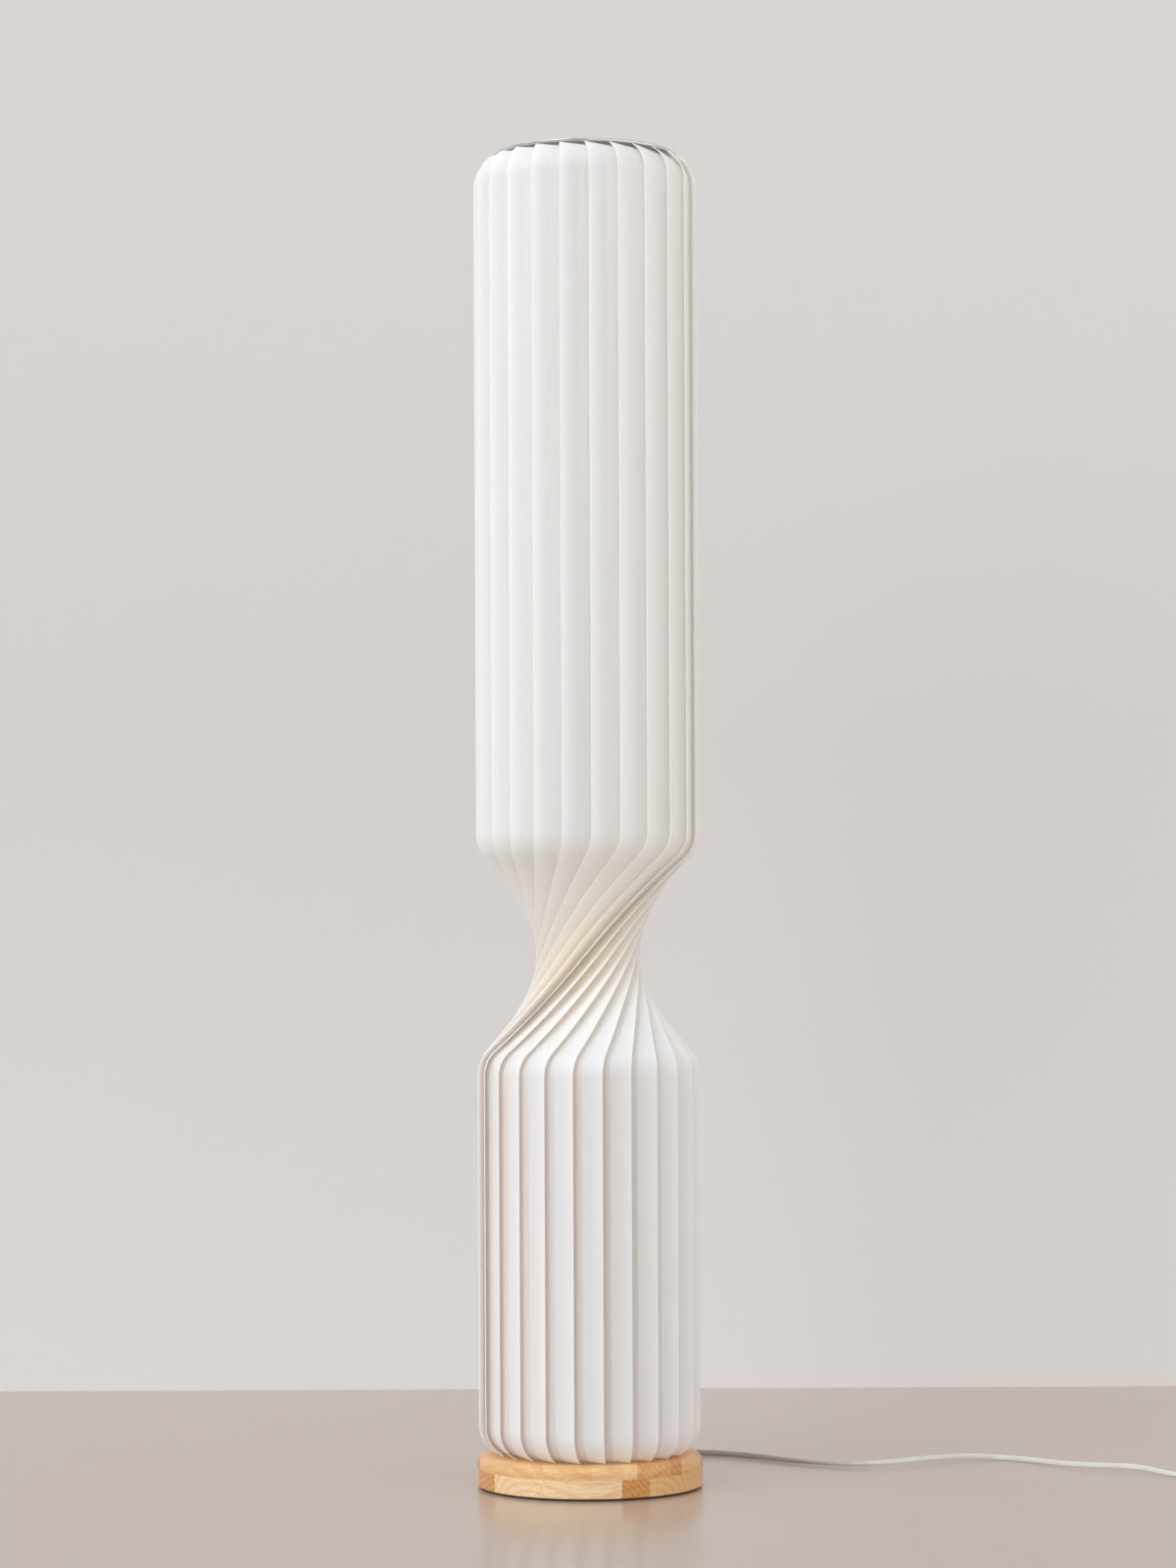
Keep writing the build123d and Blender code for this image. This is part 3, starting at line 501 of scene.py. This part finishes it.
def strip_material():
    """Milky plastic that scatters light, with painted shade where no second strip lies behind it: darker and
    pinkish low down, warm beige at the waist.
    """
    n = Nodes("strip_plastic")
    tone = n.noise(n.mapped(scale=(9, 9, 0.5)), scale=5, detail=2)
    # Painted shade: a band beside the edge of the strip that covers the rest, tinted by height below.
    painted_shade = n.ramp(n.coordinate("X", "UV"), [
        (PAINTED_SHADE_FROM - PAINTED_SHADE_FADE, BLACK),
        (PAINTED_SHADE_FROM + PAINTED_SHADE_FADE, WHITE),
    ])
    painted_shade_tint = n.ramp(n.coordinate("Z"), PAINTED_SHADE_TINTS)
    color = n.multiply(n.ramp(tone, STRIP_TONES), painted_shade_tint, factor=painted_shade)
    face = n.shader(color, roughness=0.42, Subsurface_Weight=1.0, Subsurface_Scale=SCATTER_LENGTH,
                    Subsurface_Radius=SCATTER_REACH)
    grain = n.noise(n.mapped(scale=(18, 18, 0.4)), scale=40, detail=3)
    n.bump(face, grain, strength=0.05, distance=GRAIN_DEPTH)
    return n.finish(face)


# Wood: two layers of staves along X. The staves of the rows at the front are laid out below, and the same
# staves are shifted at random in the rows behind.
WOOD_RADIUS = 0.100
STAVE_WIDTH = 0.040
LAID_OUT_ROWS = 2

# Staves of each layer: where each starts on X, its colour, and how far it shows end grain.
UPPER_STAVES = [
    (-0.100, linear(234, 188, 130), 0.0),
    (0.001, linear(238, 198, 142), 0.0),
    (0.040, linear(224, 170, 104), 0.7),
    (0.069, linear(216, 154, 92), 1.0),
    (0.079, linear(228, 180, 120), 0.0),
]
LOWER_STAVES = [
    (-0.100, linear(220, 168, 106), 1.0),
    (-0.084, linear(247, 216, 172), 0.0),
    (0.027, linear(216, 156, 84), 1.0),
    (0.0515, linear(232, 188, 130), 0.0),
]

# Growth rings run along the staves, and end grain shows them as short strokes. The tint of each goes over
# the staves' colour with its strength, and so do those of the fibres and pores.
WAVE_TEXTURE_RATE = 20
RING_SPACING = 0.0070
RING_WAVER = 6
RING_SLIMNESS = 0.16
RING_STRENGTH = 0.27
RING_TINTS = [(0.55, WHITE), (0.90, linear(214, 160, 104)), (1.00, linear(240, 210, 175))]
UPPER_RING_CENTRE = (0.006, 0.060, 0.012)
LOWER_RING_CENTRE = (0.004, 0.085, 0.004)
STROKE_SPACING = 0.0042
STROKE_WAVER = 1.5
STROKE_CENTRE = (0.03, 0, 0.05)
STROKE_STRENGTH = 0.28
STROKE_TINTS = [(0.45, WHITE), (0.85, linear(206, 148, 88))]
FIBRE_STRENGTH = 0.45
FIBRE_TINTS = [(0.34, linear(222, 184, 138)), (0.52, WHITE)]
PORE_STRENGTH = 0.4
PORE_TINTS = [(0.30, linear(196, 150, 100)), (0.42, WHITE)]


def place_in_row(n):
    """Place along a row of staves, from 0 at its left end to 1 at its right."""
    from_front = n.calculate("ADD", n.coordinate("Y"), WOOD_RADIUS)
    row = n.calculate("FLOOR", n.calculate("DIVIDE", from_front, STAVE_WIDTH))
    chance = n.add("ShaderNodeTexWhiteNoise", {"W": row}, noise_dimensions="1D").outputs["Value"]
    behind = n.calculate("GREATER_THAN", row, LAID_OUT_ROWS - 0.5)
    shift = n.calculate("MULTIPLY", n.calculate("MULTIPLY", chance, behind), 2 * WOOD_RADIUS)
    shifted = n.calculate("ADD", n.coordinate("X"), shift)
    wrapped = n.calculate("WRAP", shifted, WOOD_RADIUS, -WOOD_RADIUS)
    return n.calculate("ADD", n.calculate("DIVIDE", wrapped, 2 * WOOD_RADIUS), 0.5)


def growth_rings(n, vector, axis, spacing, waver):
    """Rings round an axis, this far apart."""
    inputs = {
        "Vector": vector,
        "Scale": math.tau / WAVE_TEXTURE_RATE / spacing,
        "Distortion": waver,
        "Detail": 2,
        "Detail Scale": 0.4,
    }
    return n.add("ShaderNodeTexWave", inputs, wave_type="RINGS", rings_direction=axis).outputs["Fac"]


def wood_material(name, staves, ring_centre):
    """Jointed staves of pale rubberwood along X, with growth rings, fine fibres and pores."""
    n = Nodes(name)
    stops = []
    for start, color, end_grain in staves:
        stops.append(((start + WOOD_RADIUS) / (2 * WOOD_RADIUS), (*color, end_grain)))
    stave = n.ramp_node(place_in_row(n), stops, interpolation="CONSTANT")

    drawn_out = n.mapped(scale=(RING_SLIMNESS, 1, 1), location=ring_centre)
    rings = growth_rings(n, drawn_out, "X", RING_SPACING, RING_WAVER)
    color = n.multiply(stave.outputs["Color"], n.ramp(rings, RING_TINTS), RING_STRENGTH)
    strokes = growth_rings(n, n.mapped(location=STROKE_CENTRE), "Y", STROKE_SPACING, STROKE_WAVER)
    stroke_strength = n.calculate("MULTIPLY", stave.outputs["Alpha"], STROKE_STRENGTH)
    color = n.multiply(color, n.ramp(strokes, STROKE_TINTS), stroke_strength)

    fibres = n.noise(n.mapped(scale=(1, 22, 22)), scale=30, detail=6, roughness=0.62, distortion=0.3)
    color = n.multiply(color, n.ramp(fibres, FIBRE_TINTS), FIBRE_STRENGTH)
    pores = n.noise(n.mapped(scale=(0.3, 3.2, 3.2)), scale=420, detail=2)
    color = n.multiply(color, n.ramp(pores, PORE_TINTS), PORE_STRENGTH)
    face = n.shader(color, roughness=0.36, Coat_Weight=0.25, Coat_Roughness=0.22)
    n.bump(face, pores, strength=0.12, distance=GRAIN_DEPTH)
    return n.finish(face)


# Colour of the cord along X, with painted shade that makes it grey-brown near the lamp, and its mottle.
CORD_COLORS_AND_SHADE = [(0.19, linear(150, 137, 130)), (0.27, linear(222, 220, 217))]
MOTTLE_TINTS = [(0.3, (0.93, 0.93, 0.93)), (0.7, WHITE)]


def cord_material():
    """Clear sleeve over two cores. Its colour has painted shade: grey-brown near the lamp, and nearly white
    further on.
    """
    n = Nodes("clear_plastic")
    mottle = n.noise(n.coordinates(), scale=120, detail=2)
    # Painted shade: the cord's colour is grey-brown near the lamp.
    color = n.multiply(n.ramp(n.coordinate("X"), CORD_COLORS_AND_SHADE), n.ramp(mottle, MOTTLE_TINTS), factor=1)
    face = n.shader(color, roughness=0.25, Coat_Weight=0.5, Coat_Roughness=0.1)
    n.bump(face, mottle, strength=0.05, distance=TEXTURE_DEPTH)
    return n.finish(face)


# Surfaces with a slight variation of tone and a fine texture: its scale, and how strongly it is raised.
PLAIN_SURFACES = {
    "pad_rubber": dict(color=linear(58, 42, 34), roughness=0.85, raised=0.3),
    "ballast_iron": dict(color=(0.28, 0.28, 0.29), roughness=0.55, metallic=1, scale=90, raised=0.4),
    "tube_paint": dict(color=(0.78, 0.78, 0.77), roughness=0.4),
    "zinc": dict(color=(0.66, 0.67, 0.7), roughness=0.34, metallic=1, scale=200),
    "polished_steel": dict(color=(0.78, 0.76, 0.73), roughness=0.09, metallic=1, scale=60, raised=0.02),
    "inner_plastic": dict(color=linear(226, 224, 220), roughness=0.45),
    "white_plastic": dict(color=linear(240, 240, 237), roughness=0.3),
    "lead_plastic": dict(color=linear(228, 228, 226), roughness=0.45),
    "opal_globe": dict(color=linear(246, 246, 243), roughness=0.35),
    "pin_nickel": dict(color=(0.72, 0.69, 0.64), roughness=0.22, metallic=1, scale=150),
}
DARKER_TONE = 0.95
TONE_SCALE = 25


def plain_material(name, color, roughness, metallic=0, scale=300, raised=0.05):
    """Moulded, painted or metal surface."""
    n = Nodes(name)
    dark = tuple(value * DARKER_TONE for value in color)
    tone = n.noise(n.coordinates(), scale=TONE_SCALE, detail=2)
    face = n.shader(n.ramp(tone, [(0.3, dark), (0.7, color)]), roughness, Metallic=metallic)
    texture = n.noise(n.coordinates(), scale=scale, detail=2)
    n.bump(face, texture, strength=raised, distance=TEXTURE_DEPTH)
    return n.finish(face)


def make_materials():
    """Materials by the record's slots, and one for each layer of the wood."""
    made = {name: plain_material(name, **surface) for name, surface in PLAIN_SURFACES.items()}
    made["strip_plastic"] = strip_material()
    made["clear_plastic"] = cord_material()
    made["upper_wood"] = wood_material("rubberwood_upper", UPPER_STAVES, UPPER_RING_CENTRE)
    made["lower_wood"] = wood_material("rubberwood_lower", LOWER_STAVES, LOWER_RING_CENTRE)
    return made


def dress_nodes(materials):
    """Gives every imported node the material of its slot, and each layer of the wood its own."""
    layers = {"wood_upper_layer": "upper_wood", "wood_lower_layer": "lower_wood"}
    for entry in frame["record"]["subparts"]:
        node = nodes[entry["node"]]
        name = layers.get(entry["node"], entry["material_slot"])
        node.data.materials.clear()
        node.data.materials.append(materials[name])


# Floor and light

# Floor round the lamp, and a wall behind it with painted light that makes it lighter at its foot.
FLOOR_COLOR = linear(192, 177, 165)
FLOOR_ROUGHNESS = 0.20
WALL_COLOR = linear(232, 229, 227)
WALL_FOOT_PAINTED_LIGHT = linear(246, 242, 240)
WALL_FOOT_HEIGHT = 0.7
WALL_ROUGHNESS = 0.9
WALL_DISTANCE = 0.75
STAGE_REACH = 6.0

# Light of the world, a wide window at the front left, and fills. Their angles are in degrees.
WORLD_COLOR = (0.98, 0.985, 1.0)
WORLD_STRENGTH = 0.86
WINDOW = dict(azimuth=-42, elevation=28, energy=0.80, color=(0.88, 0.96, 1.0), spread=45)
FILLS = {
    "left_fill": dict(azimuth=-60, elevation=36, energy=0.58, color=(0.97, 0.98, 1.0), spread=60),
    "right_fill": dict(azimuth=66, elevation=-20, energy=0.42, color=(1.0, 0.94, 0.88), spread=60),
    "low_fill": dict(azimuth=-40, elevation=-38, energy=0.40, color=(1.0, 0.965, 0.95), spread=60),
}
LIGHT_DISTANCE = 3.0

# Cards that show only in reflections.
CARDS = {
    "dark_card": dict(azimuths=(-110, 6), heights=(1.30, 3.4), color=linear(104, 86, 78), strength=1),
    "pale_card": dict(azimuths=(6, 110), heights=(1.42, 2.9), color=WHITE, strength=1.25),
}
CARD_RADIUS = 4.2
CARD_STEPS = 12


def floor_material():
    n = Nodes("floor_plain")
    return n.finish(n.shader(FLOOR_COLOR, FLOOR_ROUGHNESS))


def wall_material():
    """Plain wall with painted light, lighter towards the floor, and open when seen from behind."""
    n = Nodes("wall_plain")
    # Painted light: the wall's colour is lighter towards its foot.
    color = n.ramp(n.coordinate("Z"), [(0, WALL_FOOT_PAINTED_LIGHT), (WALL_FOOT_HEIGHT, WALL_COLOR)])
    front = n.shader(color, WALL_ROUGHNESS)
    behind = n.add("ShaderNodeBsdfTransparent")
    is_behind = n.add("ShaderNodeNewGeometry").outputs["Backfacing"]
    inputs = {0: is_behind, 1: front.outputs["BSDF"], 2: behind.outputs["BSDF"]}
    return n.finish(n.add("ShaderNodeMixShader", inputs))


def make_stage():
    """Floor, and a wall that stands on it behind the lamp, in one mesh."""
    left, right = -STAGE_REACH, STAGE_REACH
    floor_corners = [(left, left, 0), (right, left, 0), (right, right, 0), (left, right, 0)]
    wall_corners = [
        (left, WALL_DISTANCE, 0),
        (right, WALL_DISTANCE, 0),
        (right, WALL_DISTANCE, STAGE_REACH),
        (left, WALL_DISTANCE, STAGE_REACH),
    ]
    mesh = bpy.data.meshes.new("floor")
    mesh.from_pydata(floor_corners + wall_corners, [], [(0, 1, 2, 3), (4, 5, 6, 7)])
    mesh.materials.append(floor_material())
    mesh.materials.append(wall_material())
    mesh.polygons[1].material_index = 1
    floor = new_object("floor", mesh)
    return floor


def make_card(name, azimuths, heights, color, strength):
    """Upright curved card round the set."""
    first, last = azimuths
    vertices = []
    for step in range(CARD_STEPS + 1):
        azimuth = first + (last - first) * step / CARD_STEPS
        vertices += [polar(CARD_RADIUS, azimuth, height) for height in heights]
    faces = [(2 * i, 2 * i + 2, 2 * i + 3, 2 * i + 1) for i in range(CARD_STEPS)]
    mesh = bpy.data.meshes.new(name)
    mesh.from_pydata(vertices, [], faces)
    n = Nodes(name)
    mesh.materials.append(n.finish(n.add("ShaderNodeEmission", {"Color": color, "Strength": strength})))
    card = new_object(name, mesh)
    card.visible_camera = False
    card.visible_diffuse = False
    card.visible_transmission = False
    card.visible_shadow = False


def make_sun(name, azimuth, elevation, energy, color, spread):
    data = bpy.data.lights.new(name, "SUN")
    data.energy = energy
    data.angle = math.radians(spread)
    data.color = color
    sun = new_object(name, data)
    sun.location = polar(LIGHT_DISTANCE, azimuth, LIGHT_DISTANCE * math.tan(math.radians(elevation)))
    sun.rotation_euler = sun.location.to_track_quat("Z", "Y").to_euler()
    return sun


def make_lights(floor):
    """Even light all round, the window, the fills for the light deep in the shade, and the cards.

    The renderer cuts off the many bounces between the strips. The fills stand in for them, so they cast
    no shadow and miss the floor.
    """
    world = bpy.data.worlds.new("world")
    bpy.context.scene.world = world
    world.use_nodes = True
    background = world.node_tree.nodes["Background"]
    background.inputs["Color"].default_value = (*WORLD_COLOR, 1)
    background.inputs["Strength"].default_value = WORLD_STRENGTH
    make_sun("window", **WINDOW)
    fills = [make_sun(name, **fill) for name, fill in FILLS.items()]
    unlit = bpy.data.collections.new("missed_by_fills")
    unlit.objects.link(floor)
    unlit.collection_objects[0].light_linking.link_state = "EXCLUDE"
    for fill in fills:
        fill.data.use_shadow = False
        fill.light_linking.receiver_collection = unlit
    for name, card in CARDS.items():
        make_card(name, **card)


make_camera()
materials = make_materials()
make_cord(materials["clear_plastic"])
make_strips(materials["strip_plastic"])
dress_nodes(materials)
make_lights(make_stage())
bpy.context.scene.view_settings.view_transform = "Standard"
